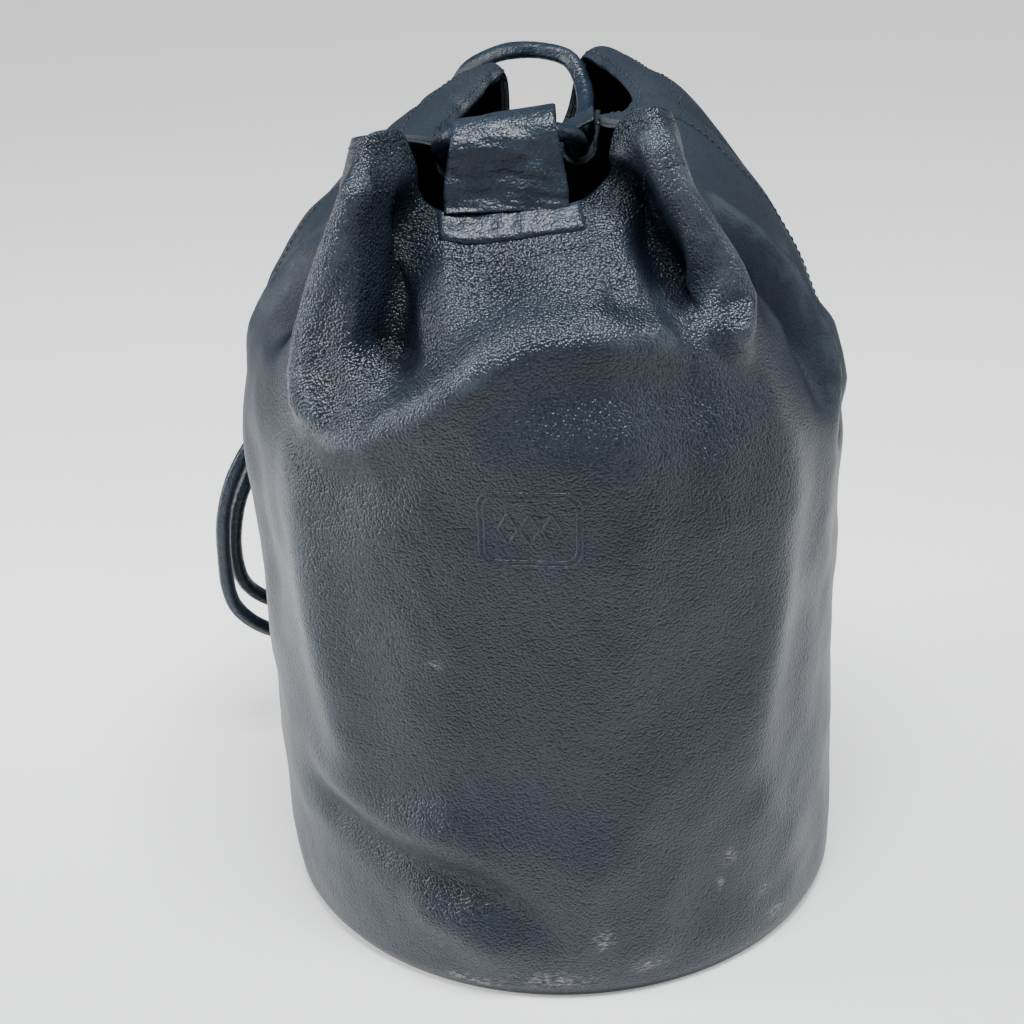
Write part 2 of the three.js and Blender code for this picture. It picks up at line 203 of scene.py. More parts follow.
def column_angles():
    starts = [station[0] for station in STATIONS] + [360]
    steps = np.arange(COLUMNS_PER_STATION) / COLUMNS_PER_STATION
    return np.concatenate([a + (b - a) * steps for a, b in zip(starts, starts[1:])])


def surface_normals(grid):
    """Outward normals of a grid that wraps round in its first direction."""
    east = np.roll(grid, -1, axis=0) - np.roll(grid, 1, axis=0)
    up = np.gradient(grid, axis=1)
    normal = np.cross(east, up)
    return normal / np.maximum(np.linalg.norm(normal, axis=2), 1e-9)[:, :, None]


def smoothstep(low, high, value):
    t = np.clip((value - low) / (high - low), 0, 1)
    return t * t * (3 - 2 * t)


def along_path(angle, height, path):
    """Distance in millimetres from each surface point to a path of (angle, height), and the share of the
    path's length at the nearest point."""
    points = np.array([[math.radians(a) * BODY_RADIUS, z] for a, z in path])
    x = np.radians(angle) * BODY_RADIUS
    centre = points[:, 0].mean()
    turn = 2 * math.pi * BODY_RADIUS
    x = centre + (x - centre + turn / 2) % turn - turn / 2
    lengths = np.linalg.norm(np.diff(points, axis=0), axis=1)
    total = lengths.sum()
    best = np.full(x.shape, 1e9)
    share = np.zeros(x.shape)
    done = 0.0
    for a, b, length in zip(points[:-1], points[1:], lengths):
        d = (b - a) / length
        t = np.clip((x - a[0]) * d[0] + (height - a[1]) * d[1], 0, length)
        dx = x - (a[0] + t * d[0])
        dz = height - (a[1] + t * d[1])
        distance = np.hypot(dx, dz)
        nearer = distance < best
        best = np.where(nearer, distance, best)
        share = np.where(nearer, (done + t) / total, share)
        done += length
    return best, share


# Folds: path of (angle, height), width, depth above the surface, fade at the ends
FOLDS = [
    # left ridge, from the lobe down and round into the front crease
    ([(-36, 404), (-39, 385), (-43, 365), (-46.5, 346), (-48, 328), (-47, 311), (-44, 298), (-39, 289)],
     11, 9.5, 0.15),
    ([(-47, 318), (-44, 299), (-38, 288), (-31, 289), (-24.6, 297), (-18.7, 306), (-13, 315), (-7, 325),
      (0, 331), (11, 333), (22, 328), (31, 321), (39, 322)], 12, 10.5, 0.2),
    # scoop left of the loop tab
    ([(-20, 392), (-24, 368), (-27, 346), (-29, 328), (-31, 308)], 17, -18.0, 0.26),
    ([(-14, 352), (-6, 356), (6, 362)], 12, -3.0, 0.3),
    # right ridge
    ([(33, 416), (35.4, 402), (36.7, 384), (39.6, 367), (42.4, 351), (44.6, 337), (42, 326), (36, 319)],
     9.5, 11.0, 0.14),
    # hollow inside the right ridge, then a soft ridge and a soft hollow
    ([(25, 398), (26.4, 380), (28, 368), (31, 356), (34.5, 346), (38, 336)], 12, -17.0, 0.22),
    ([(10, 368), (15, 360), (20, 350), (25, 341)], 11, 2.5, 0.3),
    ([(12, 350), (18, 344), (24, 337)], 8, -2.0, 0.3),
    # side folds
    ([(-52, 388), (-56, 366), (-60, 345), (-64, 325), (-72, 300)], 10, -9.0, 0.3),
    ([(-68, 372), (-72, 345), (-80, 312), (-86, 280)], 10, 6.0, 0.3),
    ([(44, 408), (49, 384), (56, 362), (63, 342), (67, 320), (67, 298), (64, 262)], 9, -9.0, 0.28),
    ([(62, 384), (70, 352), (74, 325), (74, 300), (71, 275), (68, 246)], 8, 6.5, 0.28),
    ([(86, 345), (83, 318), (80, 299), (77, 273), (74, 236)], 7, -7.0, 0.3),
    ([(90, 310), (86, 285), (82, 255)], 8, 5.0, 0.3),
    # front plane between two soft upright corners
    ([(-4, 300), (-6, 240), (-6, 160), (-4, 70)], 54, -8.0, 0.25),
    ([(-46, 300), (-48, 262), (-47, 210), (-44, 150), (-40, 90)], 17, 6.5, 0.22),
    ([(-68, 280), (-70, 220), (-66, 150)], 20, -4.0, 0.3),
    ([(44, 318), (47, 270), (45, 210), (41, 150), (42, 84)], 19, 6.0, 0.25),
    ([(28, 290), (24, 240), (26, 190), (22, 120)], 20, -2.5, 0.3),
    ([(12, 262), (16, 214), (12, 168)], 22, 2.0, 0.3),
    # foot of the bag: long soft creases
    ([(-60, 98), (-48, 82), (-36, 72), (-25, 69), (-15, 62), (-4, 42), (3, 24)], 10, -5.0, 0.22),
    ([(-60, 120), (-46, 102), (-34, 92), (-22, 89), (-8, 76)], 13, 4.0, 0.3),
    ([(-34, 48), (-20, 38), (-6, 18)], 12, 3.5, 0.3),
    ([(14, 98), (26, 68), (34, 36), (40, 12)], 16, -3.0, 0.3),
    ([(38, 100), (48, 70), (56, 40)], 14, 3.0, 0.3),
    # back and far sides
    ([(112, 372), (116, 340), (120, 300), (118, 250)], 10, -6.0, 0.3),
    ([(126, 380), (130, 345), (134, 300), (130, 240)], 11, 5.0, 0.3),
    ([(150, 380), (152, 345), (150, 305), (154, 250), (150, 190)], 11, 5.0, 0.3),
    ([(164, 360), (168, 330), (176, 300), (186, 280)], 13, -7.0, 0.3),
    ([(186, 350), (192, 326), (198, 304)], 10, 2.0, 0.3),
    ([(214, 370), (216, 335), (220, 295), (216, 250), (212, 200)], 12, -5.0, 0.3),
    ([(230, 372), (234, 340), (238, 300), (236, 250)], 12, 4.5, 0.3),
    ([(250, 370), (250, 335), (248, 300), (250, 250)], 12, -5.0, 0.3),
    ([(206, 409), (212, 396), (214, 374)], 6, -3.5, 0.3),
    ([(236, 403), (230, 388), (228, 362)], 8, -4.0, 0.3),
    ([(122, 414), (124, 398), (127, 376)], 7, -4.0, 0.3),
    ([(98, 405), (104, 390), (106, 366)], 8, -4.0, 0.3),
    ([(268, 372), (266, 330), (268, 290)], 10, 3.0, 0.3),
    ([(150, 90), (168, 74), (186, 70), (204, 50)], 12, -3.5, 0.3),
    ([(228, 120), (240, 92), (254, 60)], 12, 3.0, 0.3),
    ([(100, 110), (116, 80), (134, 40)], 14, -3.5, 0.3),
]


def soft_noise(points, scale, seed, waves=22):
    """Smooth lumps of about one unit, made of seeded plane waves of roughly the given wavelength."""
    random = np.random.default_rng(seed)
    total = np.zeros(points.shape[:-1])
    for _ in range(waves):
        direction = random.normal(size=3)
        direction /= np.linalg.norm(direction)
        length = scale * random.uniform(0.7, 1.6)
        total += np.sin((points @ direction) * 2 * math.pi / length + random.uniform(0, 2 * math.pi))
    return total / math.sqrt(waves / 2)


def sculpt(angle, height):
    """All the folds: rounded ridges (depth above 0) and hollows (below 0) along their paths."""
    total = np.zeros(angle.shape)
    for path, width, depth, fade in FOLDS:
        distance, share = along_path(angle, height, path)
        ends = smoothstep(0, fade, share) * smoothstep(0, fade, 1 - share)
        total += depth * ends * np.exp(-(distance / width)**2)
    return total


def leather_surface():
    """Column angles, and the grid of the sculpted outer face: every column has the same rows."""
    angles = column_angles()
    z = SHOULDER * np.linspace(0, 1, BODY_ROWS, endpoint=False)
    grid = np.concatenate([body_points(angles, z), shoulder_points(angles)], axis=1)
    angle = np.broadcast_to(angles[:, None], grid.shape[:2])
    depth = sculpt(angle, grid[:, :, 2])
    quiet = smoothstep(2, 30, grid[:, :, 2]) * (1 - 0.6 * hem_share())
    depth = depth + 0.5 * quiet * soft_noise(grid, 52, 3) + 0.12 * quiet * soft_noise(grid, 20, 4)
    grid = grid + surface_normals(grid) * depth[:, :, None]
    return angle, grid


def hem_share():
    """How far each row is into the hem: 0 below it, 1 at the rim."""
    rows = BODY_ROWS + SHOULDER_ROWS + HEM_ROWS + 1
    share = np.zeros(rows)
    share[-HEM_ROWS - 1:] = np.linspace(0, 1, HEM_ROWS + 1)
    return share[None, :]


# ---------------------------------------------------------------- end of the shape

ANGLE, GRID = leather_surface()
NORMAL = surface_normals(GRID)
HEM_ROW = BODY_ROWS + SHOULDER_ROWS
ROWS = GRID.shape[1]
COLUMNS = GRID.shape[0]
base_low, base_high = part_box("base_panel")
SHIFT = np.array([(base_low.x + base_high.x) / 2 + 0.001, (base_low.y + base_high.y) / 2, 0])


def frame_points(points):
    """Millimetres from the middle of the base, as metres in the frame."""
    return np.asarray(points, dtype=float) * MM + SHIFT


# ---------------------------------------------------------------- meshes

def new_mesh(name, points, faces, material):
    mesh = bpy.data.meshes.new(name)
    mesh.from_pydata(frame_points(points).tolist(), [], faces)
    mesh.polygons.foreach_set("use_smooth", [True] * len(mesh.polygons))
    mesh.materials.append(material)
    mesh.update()
    thing = bpy.data.objects.new(name, mesh)
    bpy.context.scene.collection.objects.link(thing)
    return thing


def set_attribute(thing, name, values):
    data = thing.data.attributes.new(name, "FLOAT", "POINT")
    data.data.foreach_set("value", np.asarray(values, dtype=np.float32).ravel())


def settle(thing, body, replaces=()):
    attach(thing, body)
    if replaces:
        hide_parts(*replaces)
    return thing


def slab_faces(columns, rows, wraps):
    """Faces of a closed body between two grids, listed one after the other, and how many are skin."""
    index = np.arange(2 * columns * rows).reshape(2, columns, rows)
    east = np.roll(index, -1, axis=1) if wraps else index[:, 1:]
    west = index if wraps else index[:, :-1]
    faces = []

    def quads(a, b, c, d):
        faces.append(np.stack([a.ravel(), b.ravel(), c.ravel(), d.ravel()], axis=1))

    quads(west[0, :, :-1], east[0, :, :-1], east[0, :, 1:], west[0, :, 1:])
    quads(west[1, :, :-1], west[1, :, 1:], east[1, :, 1:], east[1, :, :-1])
    quads(west[0, :, 0], west[1, :, 0], east[1, :, 0], east[0, :, 0])
    quads(west[0, :, -1], east[0, :, -1], east[1, :, -1], west[1, :, -1])
    if not wraps:
        quads(index[0, 0, :-1], index[0, 0, 1:], index[1, 0, 1:], index[1, 0, :-1])
        quads(index[0, -1, :-1], index[1, -1, :-1], index[1, -1, 1:], index[0, -1, 1:])
    return np.concatenate(faces).tolist()


EDGE_ROUND = 0.7


def layer(name, top, low, material, wraps=False):
    """A closed layer between two grids of points."""
    both = np.concatenate([top.reshape(-1, 3), low.reshape(-1, 3)])
    return new_mesh(name, both, slab_faces(*top.shape[:2], wraps), material)


def rounded_slab(name, columns, rows, near, far, material, wraps=False, cut=None):
    """A layer of leather or cloth over some columns and rows of the surface, between two depths. Unless it
    wraps, its first and last columns are drawn in a little from both faces, which softens the side edges."""
    points = GRID[np.ix_(columns, rows)]
    normals = NORMAL[np.ix_(columns, rows)]
    top = points - normals * near
    low = points - normals * far
    middle = (far - near) / 2
    if not wraps:
        for grid, other in ((top, low), (low, top)):
            grid[0] += (other[0] - grid[0]) * EDGE_ROUND / (2 * middle) * 0.5
            grid[-1] += (other[-1] - grid[-1]) * EDGE_ROUND / (2 * middle) * 0.5
    thing = layer(name, top, low, material, wraps)
    if cut is not None:
        thing.data.materials.append(cut)
        count = len(columns) if wraps else len(columns) - 1
        skins = 2 * count * (len(rows) - 1)
        for face in range(skins + count, skins + 2 * count):
            thing.data.polygons[face].material_index = 1
            thing.data.polygons[face].use_smooth = False
    return thing


def unit(rows):
    """Each row of an array, made one unit long."""
    return rows / np.linalg.norm(rows, axis=1)[:, None]


def length_along(line):
    """The length from the start of a line to each of its points."""
    return np.concatenate([[0], np.cumsum(np.linalg.norm(np.diff(line, axis=0), axis=1))])


def read_line(line, run, places):
    """Points of a line at some lengths along it; run is the length at each of its own points."""
    return np.stack([np.interp(places, run, column) for column in line.T], axis=-1)


def spline(points, step):
    """Even points along a centripetal Catmull-Rom curve through given points."""
    p = np.array(points, dtype=float)
    p = np.vstack([2 * p[0] - p[1], p, 2 * p[-1] - p[-2]])
    out = []
    for i in range(1, len(p) - 2):
        p0, p1, p2, p3 = p[i - 1:i + 3]
        t0 = 0.0
        t1 = t0 + max(np.linalg.norm(p1 - p0), 1e-4)**0.5
        t2 = t1 + max(np.linalg.norm(p2 - p1), 1e-4)**0.5
        t3 = t2 + max(np.linalg.norm(p3 - p2), 1e-4)**0.5
        for t in np.linspace(t1, t2, 24, endpoint=False):
            a1 = (t1 - t) / (t1 - t0) * p0 + (t - t0) / (t1 - t0) * p1
            a2 = (t2 - t) / (t2 - t1) * p1 + (t - t1) / (t2 - t1) * p2
            a3 = (t3 - t) / (t3 - t2) * p2 + (t - t2) / (t3 - t2) * p3
            b1 = (t2 - t) / (t2 - t0) * a1 + (t - t0) / (t2 - t0) * a2
            b2 = (t3 - t) / (t3 - t1) * a2 + (t - t1) / (t3 - t1) * a3
            out.append((t2 - t) / (t2 - t1) * b1 + (t - t1) / (t2 - t1) * b2)
    out = np.array(out + [p[-2]])
    run = length_along(out)
    return read_line(out, run, np.linspace(0, run[-1], max(int(run[-1] / step), 2) + 1))


def frames_along(line):
    """Two directions across each point of a line, turning as little as possible."""
    along = unit(np.gradient(line, axis=0))
    side = np.cross(along[0], [0.3, 0.2, 1.0])
    sides = []
    for direction in along:
        side = side - direction * (side @ direction)
        side /= np.linalg.norm(side)
        sides.append(side)
    sides = np.array(sides)
    return sides, np.cross(along, sides)


def ring(sides, side, across):
    """Directions of a full turn, which starts at one direction and goes towards the other."""
    turn = 2 * math.pi * np.arange(sides)[:, None] / sides
    return side * np.cos(turn) + across * np.sin(turn)


def ring_faces(first, rings, sides, closed=False):
    """Faces between rings of points that are listed one after the other; closed joins the last and first."""
    faces = []
    for i in range(rings if closed else rings - 1):
        low, high = first + i * sides, first + (i + 1) % rings * sides
        faces += [[low + k, low + (k + 1) % sides, high + (k + 1) % sides, high + k] for k in range(sides)]
    return faces


def tube(name, line, radius, material, sides):
    """A closed tube along a line; radius is a function of the length along it and the turn round it."""
    side, across = frames_along(line)
    run = length_along(line)
    turn = np.linspace(0, 2 * math.pi, sides, endpoint=False)
    size = radius(run[:, None], turn[None, :])
    points = line[:, None] + ring(sides, side[:, None], across[:, None]) * size[:, :, None]
    faces = ring_faces(0, len(line), sides)
    faces.append([sides - 1 - j for j in range(sides)])
    faces.append([(len(line) - 1) * sides + j for j in range(sides)])
    return new_mesh(name, points.reshape(-1, 3), faces, material)


def stitches(name, ends, radius):
    """One mesh of thread: a rounded bar sunk at both ends for each pair of ends, with the way out."""
    sides = 6
    arch = [(0.0, -0.55, 0.55), (0.12, -0.05, 0.9), (0.35, 0.4, 1.0), (0.65, 0.4, 1.0), (0.88, -0.05, 0.9),
            (1.0, -0.55, 0.55)]
    points, faces = [], []
    for start, end, out in ends:
        along = end - start
        across = np.cross(out, along)
        across /= np.linalg.norm(across)
        first = len(points)
        for share, lift, size in arch:
            centre = start + along * share + out * lift * radius
            points += list(centre + ring(sides, across, out) * radius * size)
        faces += [[a, d, c, b] for a, b, c, d in ring_faces(first, len(arch), sides)]
        faces.append([first + k for k in range(sides)])
        last = first + (len(arch) - 1) * sides
        faces.append([last + sides - 1 - k for k in range(sides)])
    return new_mesh(name, points, faces, THREAD)


def stitches_along(line, normals, pitch, length):
    """Pairs of stitch ends every pitch along a line."""
    run = length_along(line)
    places = np.arange(pitch / 2, run[-1] - pitch / 2, pitch)
    starts = read_line(line, run, places - length / 2)
    ends = read_line(line, run, places + length / 2)
    return list(zip(starts, ends, unit(read_line(normals, run, places))))


# ---------------------------------------------------------------- materials

def nodes_of(name):
    material = bpy.data.materials.new(name)
    material.use_nodes = True
    tree = material.node_tree
    shader = tree.nodes["Principled BSDF"]
    return material, tree, shader


def add_node(tree, kind, **inputs):
    made = tree.nodes.new(kind)
    for key, value in inputs.items():
        made.inputs[key.replace("_", " ")].default_value = value
    return made


def maths(tree, operation, a, b):
    made = tree.nodes.new("ShaderNodeMath")
    made.operation = operation
    for socket, value in zip(made.inputs, (a, b)):
        if isinstance(value, (int, float)):
            socket.default_value = value
        else:
            tree.links.new(value, socket)
    return made.outputs[0]


def times(tree, a, b):
    return maths(tree, "MULTIPLY", a, b)


def mix_colour(tree, share, a, b):
    made = tree.nodes.new("ShaderNodeMix")
    made.data_type = "RGBA"
    for socket, value in ((made.inputs["Factor"], share), (made.inputs[6], a), (made.inputs[7], b)):
        if isinstance(value, (int, float)):
            socket.default_value = value
        elif isinstance(value, tuple):
            socket.default_value = (*value, 1)
        else:
            tree.links.new(value, socket)
    return made.outputs[2]


def ramp(tree, value, low, high, start=0.0, end=1.0):
    made = tree.nodes.new("ShaderNodeMapRange")
    made.interpolation_type = "SMOOTHSTEP"
    for key, number in (("From Min", low), ("From Max", high), ("To Min", start), ("To Max", end)):
        made.inputs[key].default_value = number
    tree.links.new(value, made.inputs["Value"])
    return made.outputs["Result"]


def attribute(tree, name):
    made = tree.nodes.new("ShaderNodeAttribute")
    made.attribute_name = name
    return made.outputs["Fac"]


def place(tree, scale=(1, 1, 1)):
    coordinates = tree.nodes.new("ShaderNodeTexCoord")
    mapping = tree.nodes.new("ShaderNodeMapping")
    mapping.inputs["Scale"].default_value = scale
    tree.links.new(coordinates.outputs["Object"], mapping.inputs["Vector"])
    return mapping.outputs["Vector"]


def noise(tree, vector, scale, detail=2.0, roughness=0.5):
    made = add_node(tree, "ShaderNodeTexNoise", Scale=scale, Detail=detail, Roughness=roughness)
    tree.links.new(vector, made.inputs["Vector"])
    return made.outputs["Fac"]


def bump(tree, height, distance, strength=1.0, before=None):
    made = add_node(tree, "ShaderNodeBump", Distance=distance, Strength=strength)
    tree.links.new(height, made.inputs["Height"])
    if before is not None:
        tree.links.new(before, made.inputs["Normal"])
    return made.outputs["Normal"]


def grain(tree, vector, cell, warp=0.35):
    """Height of the leather's pebbles: rounded cells about the given size in metres."""
    shift = add_node(tree, "ShaderNodeTexNoise", Scale=0.45 / cell, Detail=1.0)
    tree.links.new(vector, shift.inputs["Vector"])
    moved = tree.nodes.new("ShaderNodeVectorMath")
    moved.operation = "MULTIPLY_ADD"
    tree.links.new(shift.outputs["Color"], moved.inputs[0])
    moved.inputs[1].default_value = (warp * cell * 2,) * 3
    tree.links.new(vector, moved.inputs[2])
    cells = tree.nodes.new("ShaderNodeTexVoronoi")
    cells.feature = "F1"
    cells.inputs["Scale"].default_value = 1 / cell
    tree.links.new(moved.outputs[0], cells.inputs["Vector"])
    return maths(tree, "SUBTRACT", 1.0, maths(tree, "POWER", cells.outputs["Distance"], 1.7))


def darker(colour, share):
    return tuple(channel * share for channel in colour)


# Masks painted on the leather: ridges (rubbed wear and painted highlight), sides (flatter grain and painted
# sheen), seams, hollows (painted shade) and scuffs
PAINTED = ("ridge", "smooth_and_painted_sheen", "seam", "painted_hollow_shade", "scuff")


def leather_material(name, dark, light, worn_and_highlight, scuffed, painted_side_sheen, cell, depth, rough):
    """Pebbled leather: darker between the pebbles, with painted shade in the hollows; paler and smoother on
    the ridges, partly rubbed wear and partly a painted highlight; a paler painted sheen on the sides.
    """
    material, tree, shader = nodes_of(name)
    vector = place(tree)
    pebble = grain(tree, vector, cell)
    fine = noise(tree, vector, 2600, 2.0)
    cloud = noise(tree, vector, 14, 4.0, 0.55)
    ridge, smooth_and_painted_sheen, seam, painted_hollow_shade, scuff = (attribute(tree, key) for key in PAINTED)
    colour = mix_colour(tree, ramp(tree, cloud, 0.3, 0.72), dark, light)
    colour = mix_colour(tree, ramp(tree, pebble, 0.45, 0.95, 0.6, 0.0), colour, darker(dark, 0.35))
    patches = ramp(tree, noise(tree, vector, 60, 4.0), 0.3, 0.7)
    # Paler on the ridges, in patches: partly rubbed wear, partly a painted highlight
    wear_and_highlight = times(tree, ramp(tree, ridge, 0.15, 0.95), patches)
    colour = mix_colour(tree, times(tree, wear_and_highlight, 0.28), colour, worn_and_highlight)
    scratch = noise(tree, place(tree, (1, 1, 3)), 260, 4.0, 0.65)
    scuff = times(tree, scuff, ramp(tree, scratch, 0.47, 0.6))
    colour = mix_colour(tree, times(tree, scuff, 0.62), colour, scuffed)
    colour = mix_colour(tree, times(tree, seam, 0.45), colour, darker(dark, 0.4))
    # Painted sheen: the sides are mixed towards a paler colour
    colour = mix_colour(tree, times(tree, smooth_and_painted_sheen, 0.45), colour, painted_side_sheen)
    # Painted shade: the hollows of the folds are darkened
    colour = mix_colour(tree, times(tree, painted_hollow_shade, 0.8), colour, darker(dark, 0.25))
    tree.links.new(colour, shader.inputs["Base Color"])
    roughness = maths(tree, "ADD", rough - 0.08, times(tree, cloud, 0.16))
    roughness = maths(tree, "ADD", roughness, times(tree, smooth_and_painted_sheen, 0.2))
    roughness = maths(tree, "SUBTRACT", roughness, times(tree, wear_and_highlight, 0.06))
    tree.links.new(roughness, shader.inputs["Roughness"])
    gloss = maths(tree, "SUBTRACT", 0.36, times(tree, smooth_and_painted_sheen, 0.3))
    # Painted shade: less reflection in the hollows
    gloss = times(tree, gloss, maths(tree, "SUBTRACT", 1.0, times(tree, painted_hollow_shade, 0.7)))
    tree.links.new(gloss, shader.inputs["Specular IOR Level"])
    flat = maths(tree, "SUBTRACT", 1.0, times(tree, smooth_and_painted_sheen, 0.85))
    height = times(tree, pebble, flat)
    creases = noise(tree, vector, 120, 5.0, 0.6)
    first = bump(tree, creases, 0.00038, 0.6)
    second = bump(tree, height, depth, 0.9, first)
    tree.links.new(bump(tree, fine, 0.00005, 0.5, second), shader.inputs["Normal"])
    return material


def plain_leather(name, dark, light, cell, depth, rough):
    """Smoother leather of tabs and cord: fine grain, long soft creases and paler rubbed parts."""
    material, tree, shader = nodes_of(name)
    vector = place(tree)
    pebble = grain(tree, vector, cell)
    cloud = noise(tree, vector, 45, 4.0, 0.6)
    colour = mix_colour(tree, ramp(tree, cloud, 0.32, 0.7), dark, light)
    colour = mix_colour(tree, ramp(tree, pebble, 0.3, 0.95, 0.4, 0.0), colour, darker(dark, 0.4))
    tree.links.new(colour, shader.inputs["Base Color"])
    roughness = maths(tree, "ADD", rough - 0.08, times(tree, cloud, 0.16))
    tree.links.new(roughness, shader.inputs["Roughness"])
    shader.inputs["Specular IOR Level"].default_value = 0.36
    first = bump(tree, noise(tree, place(tree, (0.5, 1, 1.3)), 190, 5.0, 0.62), 0.0013, 0.8)
    tree.links.new(bump(tree, pebble, depth, 0.8, first), shader.inputs["Normal"])
    return material


def cloth_material(name, dark, light, pitch=0.0007):
    """Woven cloth: two crossing sets of threads, with fuzz and uneven dye."""
    material, tree, shader = nodes_of(name)
    vector = place(tree)
    weave = []
    for direction in ("Z", "X"):
        wave = tree.nodes.new("ShaderNodeTexWave")
        wave.bands_direction = direction
        wave.inputs["Scale"].default_value = 0.31 / pitch
        wave.inputs["Distortion"].default_value = 0.6
        tree.links.new(vector, wave.inputs["Vector"])
        weave.append(wave.outputs["Fac"])
    cross = maths(tree, "MAXIMUM", *weave)
    cloud = noise(tree, vector, 30, 4.0)
    colour = mix_colour(tree, ramp(tree, cloud, 0.3, 0.7), dark, light)
    colour = mix_colour(tree, times(tree, cross, 0.4), colour, light)
    tree.links.new(colour, shader.inputs["Base Color"])
    shader.inputs["Roughness"].default_value = 0.9
    shader.inputs["Sheen Weight"].default_value = 0.3
    first = bump(tree, noise(tree, vector, 500, 3.0), 0.0002, 0.5)
    tree.links.new(bump(tree, cross, 0.0002, 0.8, first), shader.inputs["Normal"])
    return material


def board_material():
    """Grey-brown fibre board with pressed fibres."""
    material, tree, shader = nodes_of("base_board")
    vector = place(tree)
    fibre = noise(tree, place(tree, (1, 6, 1)), 260, 5.0, 0.7)
    speck = noise(tree, vector, 900, 2.0)
    colour = mix_colour(tree, ramp(tree, fibre, 0.35, 0.7), (0.11, 0.085, 0.06), (0.2, 0.16, 0.12))
    colour = mix_colour(tree, ramp(tree, speck, 0.62, 0.7, 0.0, 0.5), colour, (0.04, 0.03, 0.025))
    tree.links.new(colour, shader.inputs["Base Color"])
    shader.inputs["Roughness"].default_value = 0.85
    tree.links.new(bump(tree, fibre, 0.0002, 0.7), shader.inputs["Normal"])
    return material


# The ridge colour is partly rubbed wear and partly a painted highlight; the side colour is a painted sheen
NAVY = leather_material(
    "grained_leather", dark=(0.0072, 0.0130, 0.0215), light=(0.0150, 0.0235, 0.035), worn_and_highlight=(0.08, 0.10, 0.125),
    scuffed=(0.36, 0.33, 0.33), painted_side_sheen=(0.026, 0.032, 0.040), cell=0.0012, depth=0.0006, rough=0.31)
TAB = plain_leather("tab_leather", (0.008, 0.014, 0.023), (0.018, 0.028, 0.042), 0.0013, 0.0003, 0.33)
ROLLED = plain_leather("cord_leather", (0.006, 0.012, 0.021), (0.014, 0.024, 0.037), 0.0011, 0.00015, 0.32)
CUT = plain_leather("cut_edge", (0.018, 0.024, 0.031), (0.040, 0.049, 0.058), 0.0009, 0.0002, 0.6)
CLOTH = cloth_material("lining_cloth", (0.006, 0.006, 0.007), (0.016, 0.016, 0.018))
TAPE = cloth_material("seam_tape", (0.012, 0.013, 0.016), (0.03, 0.032, 0.038), 0.0011)
THREAD = plain_leather("thread", (0.006, 0.010, 0.016), (0.014, 0.020, 0.030), 0.0006, 0.0001, 0.5)
BOARD_FIBRE = board_material()


# ---------------------------------------------------------------- looks painted on the leather: wear, scuffs and seams, and painted shade, highlight and sheen

def nearest_column(angle):
    return int(np.abs(ANGLE[:, 0] - angle).argmin())


def bulge(reach):
    """How far the leather stands out from its neighbours a number of cells away, in millimetres."""
    east = np.roll(GRID, -reach, axis=0) + np.roll(GRID, reach, axis=0)
    rows = np.arange(ROWS)
    above = GRID[:, np.minimum(rows + reach, ROWS - 1)]
    below = GRID[:, np.maximum(rows - reach, 0)]
    return -(((east + above + below) / 4 - GRID) * NORMAL).sum(axis=2)


def blob(angle, height, wide, tall):
    x = ((ANGLE - angle + 180) % 360 - 180) * math.radians(BODY_RADIUS)
    return np.exp(-(x / wide)**2 - ((GRID[:, :, 2] - height) / tall)**2)


# Pale rubbed marks: angle, height, half width, half height
SCUFFS = [
    [34.9, 65, 3, 4],
    [33.1, 50, 2, 3],
    [43.9, 35, 3, 3],
    [47, 17.5, 5, 3],
    [16.8, 17.5, 8, 3],
    [7.9, 35, 4, 5],
    [-18.7, 7.5, 14, 3],
    [-2, 12, 16, 4],
    [-21, 182, 3, 1.5],
    [200, 22, 10, 4],
    [120, 16, 10, 4],
    [285, 14, 10, 4],
]


def rim_distance():
    """How far below the rim each row of the hem is, in millimetres."""
    return HEM * (1 - hem_share())


def painted():
    scuff = sum(blob(*mark) for mark in SCUFFS)
    wrapped = (ANGLE + 180) % 360 - 180
    # The left and right sides, more so higher up: a flatter, rougher grain with less reflection, and a paler
    # painted sheen
    side = smoothstep(44, 66, np.abs(wrapped)) * smoothstep(120, 10, np.abs(np.abs(wrapped) - 90))
    smooth_and_painted_sheen = side * (0.35 + 0.5 * smoothstep(180, 330, GRID[:, :, 2]))
    below = rim_distance()
    seam = np.maximum(np.exp(-((below - UPPER_STITCH) / 1.1)**2), np.exp(-((below - LOWER_STITCH) / 1.1)**2))
    seam = np.where(hem_share() > 0, seam, 0) + np.zeros(GRID.shape[:2])
    for angle in (90, 269):
        x = ((ANGLE - angle + 180) % 360 - 180) * math.radians(BODY_RADIUS)
        seam = np.maximum(seam, np.exp(-(x / 1.4)**2))
    upper = smoothstep(170, 300, GRID[:, :, 2])
    # Ridges of the upper folds, paler: rubbed wear and a painted highlight
    ridge = smoothstep(0.8, 2.4, bulge(5)) * upper
    # Painted shade in the hollows of the upper folds, where the leather lies below its neighbours
    painted_hollow_shade = smoothstep(0.5, 6, -bulge(15)) * upper
    return {"ridge": ridge, "painted_hollow_shade": painted_hollow_shade, "smooth_and_painted_sheen": smooth_and_painted_sheen, "scuff": np.minimum(scuff, 1), "seam": seam}


PAINT = painted()
RIGHT = nearest_column(90)
LEFT = nearest_column(269)


def paint_slab(thing, columns, rows):
    for name, values in PAINT.items():
        part = values[np.ix_(columns, rows)]
        set_attribute(thing, name, np.concatenate([part.ravel(), part.ravel()]))


# ---------------------------------------------------------------- the bag's layers

